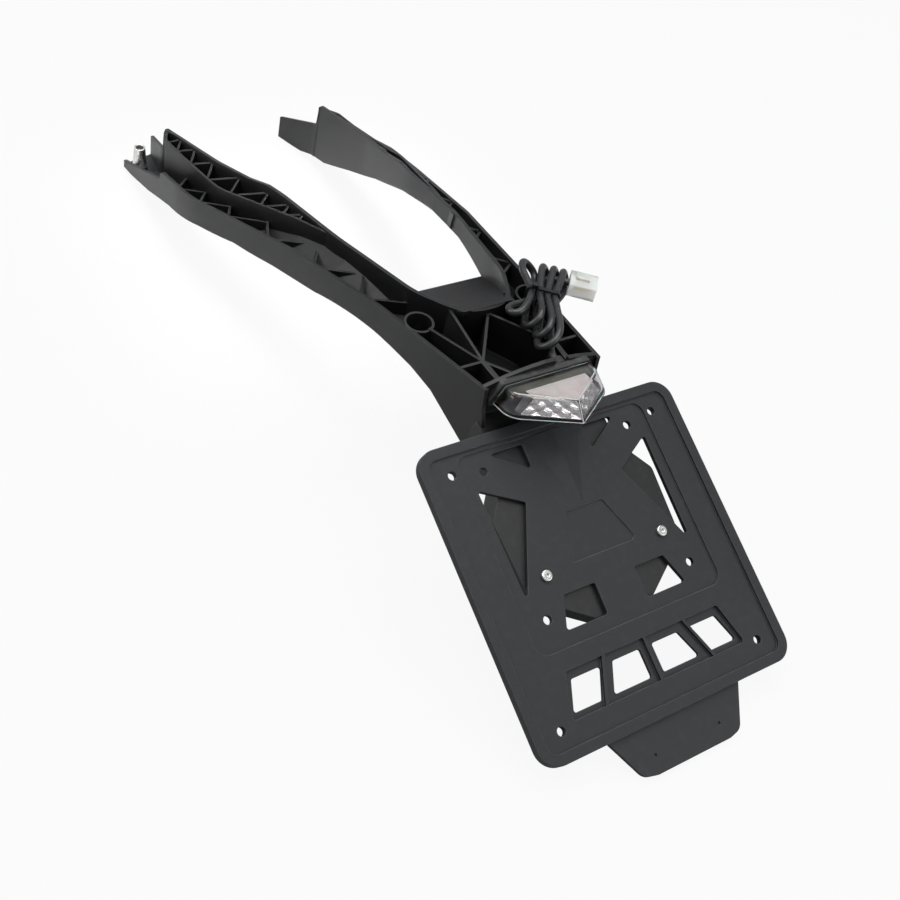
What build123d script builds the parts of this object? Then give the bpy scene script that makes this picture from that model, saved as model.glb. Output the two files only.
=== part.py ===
"""Tail tidy for an off-road motorcycle: forked tail frame, plate panel, tail lamp and tied lamp cable.

Millimetres, +Z up along the front bush axes, +X to the rider's right, +Y forward.  The origin is the middle
of the line between the top faces of the two front bushes.  Stations are measured rearward of that line, so
a station s lies at Y = -s.
"""
import math
import os

from build123d import *

os.makedirs("parts", exist_ok=True)

# Plate panel, the piece the whole scale hangs on: it takes a plate about 180 mm wide
PANEL_W = 190.0
PANEL_H = 192.0
PANEL_T = 6.0
PANEL_R = 13.0
PANEL_TILT = 23.0
PANEL_TOP_S = 447.0
PANEL_TOP_Z = 94.5
RIM_W = 6.5
RIM_DROP = 1.6
FIELD_DROP = 2.8
FIELD_HALF_W = PANEL_W / 2 - 25.0
FIELD_TOP = 9.0
FIELD_BOTTOM = PANEL_H - 58.0
FIELD_R = 8.0
PLATE_HOLE_R = 2.8
OUTER_HOLE_X = PANEL_W / 2 - 19.5
OUTER_HOLES = [(OUTER_HOLE_X, 18.0), (OUTER_HOLE_X, PANEL_H - 17.3)]
INNER_HOLES = [(54.6, 21.4), (54.6, 115.2)]

# Sunk shapes and windows of the panel, right-hand half, as (across, down the panel)
BAND_V = PANEL_H - 32.0
BAND = [(58, BAND_V - 14.3), (66, BAND_V + 12.6)]
BAND_DROP = 3.8
BAND_RIB = [(30, BAND_V - 16), (42, BAND_V + 14)]
WINDOWS = [
    [(63.5, 31), (36.2, 46.6), (62.3, 103)],
    [(48.5, 12.5), (22.8, 12.5), (23, 28.5)],
    [(38, 105.2), (15, 105.3), (15.5, 125.2), (45.5, 125)],
    [(33.5, BAND_V - 9), (55.5, BAND_V - 9), (62.5, BAND_V + 9), (41.5, BAND_V + 9)],
    [(4.5, BAND_V - 9), (25.2, BAND_V - 9), (33, BAND_V + 9), (4.5, BAND_V + 9)],
]
WINDOW_R = 1.5
RECESS = [(14, 60), (26, 90)]
RECESS_R = 3.0
RECESS_DROP = FIELD_DROP + 0.8
KEEL_HALF_W = 21.0
KEEL_TOP = FIELD_TOP + 0.5
KEEL_CREST = 0.3
KEEL_TIP = 58.0
KEEL_TIP_HALF_W = 2.0
KEEL_SINK = 0.2
TAB_T = 3.0
TAB = [(53.5, PANEL_H - RIM_W), (37, PANEL_H + 25.5), (28, PANEL_H + 27.5)]
TAB_R = 8.0
DIMPLE = (24.6, PANEL_H + 17.0)
DIMPLE_R = 1.2
DIMPLE_DROP = 1.0

# Panel fixing
SCREW_X = 44.0
SCREW_V = 91.5
SCREW_R = 2.0
SCREW_CLEAR = 0.25
SCREW_HEAD_R = 3.5
SCREW_HEAD_H = 2.2
SOCKET_R = 1.4
NUT_AF = 7.0
NUT_T = 3.2

# Tail frame moulding
WALL = 2.6
RIB = 1.8
FLOOR = 3.0
FORK_HALF_W = PANEL_W / 2 + 0.5
BUSH_X = FORK_HALF_W - 11.0
BUSH_H = 16.5
BUSH_TOP_R = 4.4
BUSH_FOOT_R = 5.8
BUSH_BORE_R = 3.25
BUSH_CLEAR = 0.4
SPIGOT_R = 4.4
SPIGOT_H = 6.0
COLLAR_R = 6.6
BOSS_X = 42.5
BOSS_S = 359.0
BOSS_R = 9.8
BOSS_BORE_R = 8.2
BOSS_TOP_Z = 106.5
BOSS_SEAT_Z = 88.0
BOSS_HOLE_R = 3.3
BODY_RIB_Z = 113.0
REAR_WALL_S = 432.6
HOOD_Z = 125.0
HOOD_SAG = 2.0
BODY_FOOT_Z = 40.0
RAMP_S = 314.0
RAMP_Z = 86.5
RAMP_PLAN = [(0, RAMP_S), (38, RAMP_S), (34.5, 336.5), (17, 371.5), (0, 371.5)]
RAMP_T = 3.0
RAMP_LIP_T = 4.0
TONGUE_T = 3.0
TONGUE_HALF_W = 43.5
TONGUE_HEAD = -14.0
TONGUE_TIP = SCREW_V + 41.5
TONGUE = [
    (TONGUE_HALF_W, TONGUE_HEAD), (TONGUE_HALF_W, 29), (51.5, 39), (SCREW_X + 16.7, SCREW_V - 39.9),
    (SCREW_X + 14.3, SCREW_V + 8.1), (22.5, SCREW_V + 33.2), (9, TONGUE_TIP),
]
TONGUE_R = 6.0
TONGUE_SKIRT_TOP = 29.0
TONGUE_SKIRT_FOOT = 11.0
TONGUE_BOSS_R = 6.0
TONGUE_BOSS_H = 8.0

# Plan lines as (half width, station), with the corner radii between
OUTER = [(41.5, PANEL_TOP_S), (56.5, 334), (FORK_HALF_W, 114), (FORK_HALF_W - 5, -20)]
OUTER_R = [150, 200]
INNER = [
    (FORK_HALF_W - 36, -32), (FORK_HALF_W - 26.5, 15), (FORK_HALF_W - 32, 105), (51, 188), (46.5, 256),
    (33, 336), (16, 370), (0, 370),
]
INNER_R = [40, 150, 150, 150, 60, 22]
MIDDLE = [(46.5, 260), (FORK_HALF_W - 17, 139), (FORK_HALF_W - 17.5, 36), (FORK_HALF_W - 26, 18)]
MIDDLE_R = [60, 10]

# Top edges of the three walls as (station, height)
OUTER_TOP = [
    (-24, -27), (12, -9.6), (64, 15.3), (66, 22), (70, 25.8), (98, 34.9), (127, 42), (150, 50), (240, 79.5),
    (332, 101), (REAR_WALL_S + 1.8, 118.5),
]
OUTER_REAR = [(436.2, 105), (443, 82), (446, 58)]
INNER_TOP = [(-34, -15), (16, 8), (17.5, 23.5), (20.5, 29), (146, 68), (170, 78), (255, 96.5), (374, 117.5)]
MIDDLE_TOP = [(16, 26.5), (62, 36), (121, 51.5), (148, 60.3), (217, 84.6), (264, 97.5)]

# Underside as (station, height at the inner wall, height at the outer wall)
UNDER = [
    (-36, -35, -36), (0, -29.8, -26.5), (40, -15.5, -12.8), (86, 9.2, 6.5), (135, 36.5, 23.3),
    (180, 60.5, 39.8), (225, 77.5, 53), (272, 86.5, 65.4), (315, 87.2, 77.5), (350, 84.5, 81.8),
    (372, 82.7, 82.7), (393, 80.5, 80.5), (427, 66.9, 66.9), (448, 60, 60),
]

# Rib feet as stations along the walls they join
BOX_INNER = [45, 68.5, 98, 135, 171, 197, 216]
BOX_MIDDLE = [39, 58, 85, 116, 149, 181, 204, 219]
TRUSS_INNER = [84, 119, 154, 193, 238, 289, 334]
TRUSS_OUTER = [102, 135, 170, 217, 266, 316]
BOX_RIB_TOP = (53.5, -0.433, -0.246)
TRUSS_KNEE = (193.0, 64.5)
TRUSS_RISE = [-0.335, -0.245]
STAR = (27.0, 408.5)
STAR_FEET = [(8, REAR_WALL_S - 1), (0, 371.5), (22, 357)]

# Tail lamp
LAMP_TILT = 14.0
CHEVRON_S = 441.0
CHEVRON_Z = 107.4
LENS_S = 437.0
LENS_H = 13.4
LENS_T = 1.8
LENS_FOOT = [(41, -8), (41, 1), (38.5, 10), (33, 16.5), (0, 38)]
LENS_TOP = [(31, -8), (31, 2), (30.5, 7), (28, 9.5), (0, 31)]
GASKET_T = 0.8
GASKET_W = 3.0
BASE_OUTLINE = [(39.5, 105.4), (39.5, 110.5), (32, 121.6)]
BOARD_T = 1.6
REFLECTOR_T = 1.0
REFLECTOR_GAP = 0.5
LED_COUNT = 6
LED_PITCH = 9.0
LED_R = 2.2
LED_REACH = 4.5
LED_Z = 114.0
LAMP_SCREW_X = 33.0
LAMP_SCREW_Z = 110.0
LAMP_SCREW_R = 1.5
LAMP_SCREW_L = 5.0

# Lamp cable, wound in a hank and tied
CABLE_R = 2.4
CABLE_EXIT = (13.5, 117.0)
GROMMET_R = 4.9
GROMMET_L = 5.5
LEAD_OUT = 11.2
LEAD_UNDER = (-24.0, 10.4)
HANK_AT = (34.0, 379.0)
HANK_TURN = 50.0
HANK_LIFT = 5.2
STRAND_PITCH = 4.9
TIE_RUN = 5.0
# Fingers in front of the tie, from the left: reach, side of the upper strand, side of the lower strand
FINGERS = [(32.0, -15.5, -7.0), (32.0, -3.4, 0.6), (33.0, 3.4, 7.2), (32.0, 9.6, 12.8)]
# Bows behind the tie, from the left: reach and side of the upper strand, then of the lower one
BOWS = [(24.0, 1.0, 25.0, -7.5), (31.0, 8.0, 32.0, 0.5), (39.5, 14.0, 41.5, 2.5)]
TAIL_CURL = [(-16.0, -8.2, 4.6), (-20.0, -14.0, 3.0)]
TAIL_RETURN = [(-16.5, -20.0, 1.6), (-9.5, -20.0, 0.6), (-3.0, -4.9, 0.0)]
TAIL_RUN = [(12.0, -4.9, 0.0), (19.4, -0.6, 0.0), (23.7, 6.8, 0.2)]
TIE_W = 2.5
TIE_T = 1.0
TIE_GAP = 0.35
TIE_HEAD = (4.2, 2.4, 3.8)
TIE_HEAD_IN = 4.0
CONNECTOR = (18.0, 16.0, 10.0)
CONNECTOR_TURN = HANK_TURN - 90.0
CONNECTOR_WALL = 1.3
CONNECTOR_BACK = 4.0
CONNECTOR_R = 1.2
CONNECTOR_AT = (68.4, 376.9, 121.5)
LATCH = (9.0, 4.0, 2.0)
LATCH_BACK = -1.0
TERMINAL = (10.0, 3.0, 0.8)
TERMINAL_PITCH = 5.5

FAR = 260.0


def parallel(path, radii, gap):
    """Plan line beside another one: its corner points and radii, a gap to the left of the run."""
    runs = []
    for (xa, ya), (xb, yb) in zip(path, path[1:]):
        size = math.hypot(xb - xa, yb - ya)
        runs.append(((xb - xa) / size, (yb - ya) / size))
    pts = [(path[0][0] - gap * runs[0][1], path[0][1] + gap * runs[0][0])]
    new_radii = []
    for point, a, b, radius in zip(path[1:], runs, runs[1:], radii):
        turn = a[0] * b[1] - a[1] * b[0]
        reach = gap / (1 + a[0] * b[0] + a[1] * b[1])
        pts.append((point[0] - reach * (a[1] + b[1]), point[1] + reach * (a[0] + b[0])))
        new_radii.append(radius - math.copysign(1, turn) * gap)
    pts.append((path[-1][0] - gap * runs[-1][1], path[-1][1] + gap * runs[-1][0]))
    return pts, new_radii


def plan(path, radii, gap=0.0):
    """Rounded plan line on the right-hand half, or its parallel a gap to the left of the run."""
    pts, rounds = parallel([(x, -s) for x, s in path], radii, gap)
    return FilletPolyline(*pts, radius=rounds)


def strip(path, radii, gap):
    """Plan face of a wall that lies between a plan line and its parallel."""
    near, far = plan(path, radii), plan(path, radii, gap)
    return make_face([near, far, Line(near @ 0, far @ 0), Line(near @ 1, far @ 1)])


def along(path, station):
    """Half width of a plan line at a station, by its straight runs."""
    pts = sorted(path, key=lambda p: p[1])
    if station <= pts[0][1]:
        return pts[0][0]
    for (xa, sa), (xb, sb) in zip(pts, pts[1:]):
        if sa <= station <= sb:
            return xa + (xb - xa) * (station - sa) / (sb - sa)
    return pts[-1][0]


def under_edge(top, rear=()):
    """Solid under a top edge, seen from the side and as wide as the right-hand half."""
    pts = [(-s, z) for s, z in list(top) + list(rear)]
    outline = Polyline(*pts, (pts[-1][0], -70), (pts[0][0], -70), close=True)
    return extrude(Plane.YZ * make_face(outline), amount=130)


def upright(face):
    """A plan face as a tall prism."""
    return extrude(Pos(0, 0, -80) * face, amount=FAR + 80)


def below(point, slope):
    """Everything under a plane through a point, with its rise along X and along Y."""
    top = Plane(origin=point, z_dir=(-slope[0], -slope[1], 1))
    return top * Pos(0, 0, -300) * Box(2400, 2400, 600)


def bar(a, b, width):
    """Plan face of a straight rib between two points given as (half width, station)."""
    (xa, sa), (xb, sb) = a, b
    turn = math.degrees(math.atan2(sa - sb, xb - xa))
    rib = Rectangle(math.hypot(xb - xa, sb - sa), width)
    return Pos((xa + xb) / 2, -(sa + sb) / 2) * Rot(0, 0, turn) * rib


def over_underside(lift, spare):
    """Solid above the underside of the right-hand half, with the underside raised by a lift."""
    faces = []
    for s, zi, zo in UNDER:
        xi = along(INNER, s)
        slope = (zo - zi) / (along(OUTER, s) - xi)
        left, right = -spare, 130 + spare
        feet = [(x, zi + slope * (x - xi) + lift) for x in (left, right)]
        outline = Polyline(*feet, (right, FAR + lift), (left, FAR + lift), close=True)
        faces.append(Plane(origin=(0, -s, 0), x_dir=(1, 0, 0), z_dir=(0, -1, 0)) * make_face(outline))
    return loft(faces, ruled=True)


def zigzag(first, second, path_a, path_b, width):
    """Plan faces of ribs running to and fro between two walls."""
    near = [(along(path_a, s) + width / 2, s) for s in first]
    far = [(along(path_b, s) - width / 2, s) for s in second]
    order = sorted(near + far, key=lambda p: p[1])
    return Sketch() + [bar(a, b, width) for a, b in zip(order, order[1:]) if (a in near) != (b in near)]


def both(shape):
    """A shape together with its mirror image in the middle plane."""
    return shape + mirror(shape, about=Plane.YZ)


def mirrored(half):
    """Closed outline from the points of its right-hand half."""
    return list(half) + [(-x, v) for x, v in reversed(half) if x > 0]


TILT = math.radians(PANEL_TILT)
PANEL = Plane(
    origin=(0, -PANEL_TOP_S, PANEL_TOP_Z), x_dir=(1, 0, 0), z_dir=(0, -math.sin(TILT), math.cos(TILT))
)


def patch(points, radius):
    """Rounded face from panel coordinates given as (across, down the panel)."""
    return make_face(FilletPolyline(*[(x, -v) for x, v in points], radius=radius, close=True))


def sunk(face, top, bottom):
    """Prism of a panel face between two depths behind the panel front."""
    return PANEL * Pos(0, 0, -bottom) * extrude(face, amount=bottom - top)


def pin(x, v, radius, top, bottom):
    """Round pin square to the panel between two depths."""
    return sunk(Pos(x, -v) * Circle(radius), top, bottom)


def build_tail_frame():
    """One moulding: two ribbed fork arms, the ribbed box that joins them and the tongue behind the panel."""
    room = over_underside(0, 1)
    outer, inner = plan(OUTER, OUTER_R), plan(INNER, INNER_R)
    seam = Polyline(inner @ 1, (0, -PANEL_TOP_S), outer @ 0)
    area = make_face([outer, Line(outer @ 1, inner @ 0), inner, seam])
    half = (room - over_underside(FLOOR, 3)) & upright(area)

    walls = upright(strip(OUTER, OUTER_R, WALL)) & under_edge(OUTER_TOP, OUTER_REAR)
    walls += upright(strip(INNER, INNER_R, WALL)) & under_edge(INNER_TOP)
    walls += upright(strip(MIDDLE, MIDDLE_R, RIB)) & under_edge(MIDDLE_TOP)
    top, across, rise = BOX_RIB_TOP
    walls += upright(zigzag(BOX_INNER, BOX_MIDDLE, INNER, MIDDLE, RIB)) & below((0, 0, top), (across, rise))
    truss_path = [(along(MIDDLE if s < 230 else INNER, s), s) for s in TRUSS_INNER]
    truss = upright(zigzag(TRUSS_INNER, TRUSS_OUTER, truss_path, OUTER, RIB))
    knee = (0, -TRUSS_KNEE[0], TRUSS_KNEE[1])
    for rise in TRUSS_RISE:
        truss &= below(knee, (0, rise))
    walls += truss

    sx, ss = STAR
    star = [(along(OUTER, ss) - 1, ss)] + STAR_FEET
    ribs = Sketch() + [bar(STAR, end, RIB) for end in star] + bar(STAR, (sx - 1, REAR_WALL_S - 1), 2 * RIB)
    walls += upright(ribs) & below((0, 0, BODY_RIB_Z), (0, 0))
    fall = (BODY_RIB_Z - BOSS_TOP_Z) / (ss - BOSS_S)
    walls += upright(bar(STAR, (BOSS_X, BOSS_S), RIB)) & below((0, -ss, BODY_RIB_Z), (0, -fall))
    walls += Pos(BOSS_X, -BOSS_S, BOSS_TOP_Z - 50) * Cylinder(BOSS_R, 100)
    rear_x = along(OUTER, REAR_WALL_S) - 1
    hood = ThreePointArc((0, HOOD_Z), (rear_x / 2, HOOD_Z - HOOD_SAG), (rear_x, OUTER_TOP[-1][1]))
    rear_face = make_face([hood, Polyline(hood @ 1, (rear_x, BODY_FOOT_Z), (0, BODY_FOOT_Z), hood @ 0)])
    walls += Pos(0, -REAR_WALL_S, 0) * extrude(Plane.XZ * rear_face, amount=-WALL)
    bush_z = -BUSH_H
    walls += Pos(BUSH_X, 0, bush_z - 50) * Cylinder(COLLAR_R, 100)
    half += walls & room

    lip, arch = INNER_TOP[-1][1], -INNER[-1][1]
    ramp_side = Polyline(
        (arch, lip), (-RAMP_S, RAMP_Z), (-RAMP_S, RAMP_Z - RAMP_T), (arch, lip - RAMP_LIP_T), close=True
    )
    ramp_plan = make_face(Polyline(*[(x, -s) for x, s in RAMP_PLAN], close=True))
    half += extrude(Plane.YZ * make_face(ramp_side), amount=60) & upright(ramp_plan)

    behind = Pos(0, -REAR_WALL_S - 50, 0) * Box(2 * (rear_x - WALL), 100, 400)
    half -= behind & (room - under_edge([(-40, 400), (REAR_WALL_S - 0.01, 400)]))
    half -= Pos(BOSS_X, -BOSS_S, BOSS_SEAT_Z + 50) * Cylinder(BOSS_BORE_R, 100)
    half -= Pos(BOSS_X, -BOSS_S, BOSS_SEAT_Z) * Cylinder(BOSS_HOLE_R, 60)
    half -= Pos(BUSH_X, 0, bush_z) * Cylinder(SPIGOT_R, 60)
    half -= Pos(BUSH_X, 0, bush_z + 20) * Cylinder(BUSH_FOOT_R + BUSH_CLEAR, 40)
    half -= Pos(LAMP_SCREW_X, -REAR_WALL_S, LAMP_SCREW_Z) * Rot(90, 0, 0) * Cylinder(LAMP_SCREW_R, 20)
    frame = both(half)

    back = PANEL_T
    shape = patch(mirrored(TONGUE), TONGUE_R)
    hollow = offset(shape, amount=-WALL) + Pos(0, -TONGUE_HEAD) * Rectangle(2 * (TONGUE_HALF_W - WALL), 30)
    skirt = sunk(shape, back, 60) - sunk(hollow, back - 1, 80)
    deep = back + TONGUE_SKIRT_TOP, back + TONGUE_SKIRT_FOOT
    head, tip = -TONGUE_HEAD, -TONGUE_TIP
    kept = Polyline((head, -back), (head, -deep[0]), (tip, -deep[1]), (tip, -back), close=True)
    skirt &= PANEL * extrude(Plane.YZ * make_face(kept), amount=100, both=True)
    tongue = sunk(shape, back, back + TONGUE_T) + skirt
    for side in (-1, 1):
        tongue += pin(side * SCREW_X, SCREW_V, TONGUE_BOSS_R, back, back + TONGUE_T + TONGUE_BOSS_H)
    tongue -= Pos(0, -REAR_WALL_S + WALL + 50, 0) * Box(300, 100, 600)
    frame += tongue
    for side in (-1, 1):
        frame -= pin(side * SCREW_X, SCREW_V, SCREW_R + SCREW_CLEAR, back - 1, 60)

    ex, ez = CABLE_EXIT
    slot = Pos(ex, ez) * Circle(GROMMET_R) + Pos(ex, ez + 10) * Rectangle(2 * GROMMET_R, 20)
    frame -= Pos(0, -REAR_WALL_S, 0) * extrude(Plane.XZ * slot, amount=10, both=True)
    return frame


def build_panel():
    """Plate panel: raised rim, sunk field, lightening windows, plate holes and a rounded tab below."""
    w, h = PANEL_W / 2, PANEL_H
    sheet = patch([(-w, 0), (w, 0), (w, h), (-w, h)], PANEL_R)
    panel = sunk(sheet, 0, PANEL_T)
    panel -= sunk(offset(sheet, amount=-RIM_W), -1, RIM_DROP)
    f = FIELD_HALF_W
    field = patch([(-f, FIELD_TOP), (f, FIELD_TOP), (f, FIELD_BOTTOM), (-f, FIELD_BOTTOM)], FIELD_R)
    panel -= sunk(field, -1, FIELD_DROP)
    ribs = Pos(0, -BAND_V) * Rectangle(RIB, 40)
    for side in (-1, 1):
        ribs += bar(*[(side * x, v) for x, v in BAND_RIB], RIB)
    panel -= sunk(patch(mirrored(BAND), 2) - ribs, -1, BAND_DROP)
    for points in WINDOWS:
        hole = sunk(patch(points, WINDOW_R), -1, PANEL_T + 1)
        panel -= both(hole)
    panel -= sunk(patch(mirrored(RECESS), RECESS_R), -1, RECESS_DROP)

    depth = FIELD_DROP + KEEL_SINK
    ends = []
    tip = KEEL_TIP, KEEL_TIP_HALF_W, FIELD_DROP - KEEL_SINK
    for v, half_w, crest in ((KEEL_TOP, KEEL_HALF_W, KEEL_CREST), tip):
        outline = Polyline((-half_w, -depth), (half_w, -depth), (0, -crest), close=True)
        ends.append(PANEL * Plane(origin=(0, -v, 0), x_dir=(1, 0, 0), z_dir=(0, -1, 0)) * make_face(outline))
    panel += loft(ends, ruled=True)

    tab = patch(mirrored(TAB), [1, TAB_R, TAB_R, TAB_R, TAB_R, 1])
    panel += sunk(tab, PANEL_T - TAB_T, PANEL_T)
    for x, v in OUTER_HOLES + INNER_HOLES:
        for side in (-1, 1):
            panel -= pin(side * x, v, PLATE_HOLE_R, -1, PANEL_T + 1)
    for side in (-1, 1):
        panel -= pin(side * SCREW_X, SCREW_V, SCREW_R + SCREW_CLEAR, -1, PANEL_T + 1)
        panel -= pin(side * DIMPLE[0], DIMPLE[1], DIMPLE_R, 0, PANEL_T - TAB_T + DIMPLE_DROP)
    return panel


def build_panel_fixings():
    """The two socket screws that hold the panel to the tongue, and their nuts."""
    seat = PANEL_T + TONGUE_T + TONGUE_BOSS_H
    screws, nuts = Part(), Part()
    for side in (-1, 1):
        x = side * SCREW_X
        screw = pin(x, SCREW_V, SCREW_HEAD_R, FIELD_DROP - SCREW_HEAD_H, FIELD_DROP)
        top_edge = screw.edges().sort_by(Axis((0, 0, 0), PANEL.z_dir))[-1]
        screw = fillet(top_edge, 0.7)
        screw += pin(x, SCREW_V, SCREW_R, FIELD_DROP, seat + NUT_T + 1)
        socket = Pos(x, -SCREW_V) * RegularPolygon(SOCKET_R, 6)
        screws += screw - sunk(socket, FIELD_DROP - SCREW_HEAD_H - 1, FIELD_DROP - 0.9)
        hexagon = Pos(x, -SCREW_V) * (RegularPolygon(NUT_AF / 2, 6, major_radius=False) - Circle(SCREW_R))
        nuts += sunk(hexagon, seat, seat + NUT_T)
    return screws, nuts


def build_bush(side):
    """Steel bush pressed in a collar of the fork arm, with the bolt bore through it."""
    cone = Cone(BUSH_FOOT_R, BUSH_TOP_R, BUSH_H, align=(Align.CENTER, Align.CENTER, Align.MAX))
    spigot = Pos(0, 0, -BUSH_H) * Cylinder(SPIGOT_R, SPIGOT_H, align=(Align.CENTER, Align.CENTER, Align.MAX))
    return Pos(side * BUSH_X, 0, 0) * (cone + spigot - Cylinder(BUSH_BORE_R, 100))


LAMP_LEAN = math.radians(LAMP_TILT)
LAMP = Plane(
    origin=(0, -CHEVRON_S, CHEVRON_Z), x_dir=(1, 0, 0), z_dir=(0, math.sin(LAMP_LEAN), math.cos(LAMP_LEAN))
)
BEHIND_LENS = Pos(0, -LENS_S + 100, CHEVRON_Z) * Box(200, 200, 200)


def lens_section(level, inset):
    """Chevron section of the lens at a level above its foot, drawn in by an inset."""
    share = level / LENS_H
    half = [(a + (c - a) * share, b + (d - b) * share) for (a, b), (c, d) in zip(LENS_FOOT, LENS_TOP)]
    face = make_face(Polyline(*[(x, -u) for x, u in mirrored(half)], close=True))
    if inset:
        face = offset(face, amount=-inset, kind=Kind.INTERSECTION)
    return LAMP * Pos(0, 0, level) * face


def lens_block(inset):
    """Solid chevron of the lens, drawn in all round by an inset."""
    return loft([lens_section(inset, inset), lens_section(LENS_H - inset, inset)], ruled=True) - BEHIND_LENS


def lamp_slab(inset, near, far):
    """Slab of the lamp base outline between two stations."""
    face = make_face(FilletPolyline(*mirrored(BASE_OUTLINE), radius=2, close=True))
    if inset:
        face = offset(face, amount=-inset)
    return Pos(0, -near, 0) * extrude(Plane.XZ * face, amount=far - near)


def build_lamp():
    """Tail lamp pieces: base, seal, board, light emitters, reflector, lens and fixing screws."""
    gasket_s = LENS_S - GASKET_T
    board_s = gasket_s + BOARD_T
    base = lamp_slab(0, REAR_WALL_S, gasket_s)
    seal = lamp_slab(0, gasket_s, LENS_S) - lamp_slab(GASKET_W, gasket_s - 1, LENS_S + 1)
    board = lamp_slab(GASKET_W + REFLECTOR_GAP, gasket_s, board_s)
    lens = lens_block(0) - lens_block(LENS_T)
    leds, wells, screws = Part(), Part(), Part()
    for i in range(LED_COUNT):
        x = (i - (LED_COUNT - 1) / 2) * LED_PITCH
        at = Pos(x, -board_s - LED_REACH / 2, LED_Z) * Rot(90, 0, 0)
        led = at * Cylinder(LED_R, LED_REACH)
        leds += fillet(led.edges().sort_by(Axis.Y)[0], LED_R * 0.8)
        wells += at * Cylinder(LED_R + REFLECTOR_GAP, 30)
    room = lens_block(LENS_T + REFLECTOR_GAP)
    reflector = room - lens_block(LENS_T + REFLECTOR_GAP + REFLECTOR_T)
    open_front = LAMP * Pos(0, -LENS_FOOT[-1][1] - 14, 0) * Box(200, 40, 100)
    back_wall = room & (Pos(0, -board_s - REFLECTOR_T / 2, LED_Z) * Box(200, REFLECTOR_T, 60))
    ahead = Pos(0, -board_s + 50, LED_Z) * Box(200, 100, 100)
    reflector = (reflector - open_front + back_wall) - wells - ahead
    for side in (-1, 1):
        at = Pos(side * LAMP_SCREW_X, -REAR_WALL_S + WALL, LAMP_SCREW_Z) * Rot(90, 0, 0)
        screw = at * Pos(0, 0, -1) * Cylinder(2 * LAMP_SCREW_R, 2)
        screw += at * Pos(0, 0, LAMP_SCREW_L / 2) * Cylinder(LAMP_SCREW_R, LAMP_SCREW_L)
        screws += screw
        base -= screw
    return base, seal, board, leds, reflector, lens, screws


def hank_point(reach, side, lift):
    """Point of the hank: how far in front of the tie, how far to the right and how far above its middle."""
    spot = Vector(reach, -side, 0).rotate(Axis.Z, HANK_TURN)
    middle = BODY_RIB_Z + CABLE_R + HANK_LIFT + TIE_GAP
    return (HANK_AT[0] + spot.X, spot.Y - HANK_AT[1], middle + lift)


def strand_side(strand):
    """Side of a strand where the tie holds it."""
    return (strand - (len(FINGERS) - 1) / 2) * STRAND_PITCH


def tube(path):
    """Round cable along a path."""
    return sweep(Plane(origin=path @ 0, z_dir=path % 0) * Circle(CABLE_R), path=path)


def cord_path(points):
    """Route of straight runs joined by arcs as large as the runs beside them allow; prints the radii."""
    points = [Vector(*p) for p in points]
    radii = []
    for a, b, c in zip(points, points[1:], points[2:]):
        half_turn = math.radians((b - a).get_angle(c - b)) / 2
        radii.append(0.45 * min((b - a).length, (c - b).length) / math.tan(half_turn))
    print("cord radii", [round(r, 1) for r in radii])
    return FilletPolyline(*points, radius=radii)


def build_hank():
    """Turns of cable, pinched by the tie: fingers in front of it and nested bows behind it."""
    up, run = HANK_LIFT, TIE_RUN
    hank = Part()
    for strand, (reach, high, low) in enumerate(FINGERS):
        side = strand_side(strand)
        way_out = [(0, side, -up), (run, side, -up), (reach, low, -up)]
        way_back = [(reach, high, up), (run, side, up), (0, side, up)]
        hank += tube(cord_path([hank_point(*p) for p in way_out + way_back]))
    for strand, (far, bow, end, tip) in enumerate(BOWS, start=1):
        side, side_before = strand_side(strand), strand_side(strand - 1)
        way_out = [(0, side, up), (-run, side, up), (-far, bow, up)]
        way_back = [(-end, tip, -up), (-run, side_before, -up), (0, side_before, -up)]
        hank += tube(cord_path([hank_point(*p) for p in way_out + way_back]))
    return hank


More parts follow.
